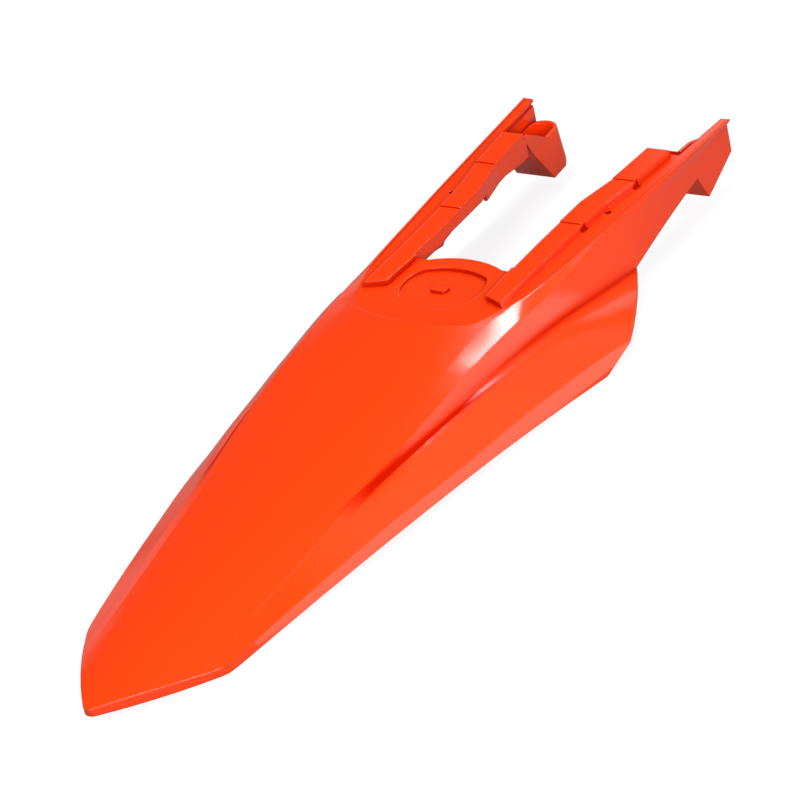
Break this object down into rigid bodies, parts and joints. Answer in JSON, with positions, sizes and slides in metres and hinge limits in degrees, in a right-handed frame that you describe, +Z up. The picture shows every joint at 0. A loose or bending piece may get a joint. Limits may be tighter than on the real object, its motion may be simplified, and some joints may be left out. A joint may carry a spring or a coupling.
{
  "type": "motorcycle rear fender",
  "caption": "One-piece moulded rear fender for an off-road motorcycle: tapered tail blade, side wings with hanging lips, and forward arms with pads and pockets.",
  "frame": {"origin": "middle of the length on the mirror plane, at the height of the lip edges the part rests on", "axes": "+X forward towards the arms, +Y to the left, +Z up"},
  "size_m": [0.708, 0.2452, 0.0678],
  "materials": {
    "orange_plastic": "smooth gloss moulded polypropylene"
  },
  "bodies": {
    "root": {"rear_fender": "orange_plastic"}
  },
  "joints": []
}
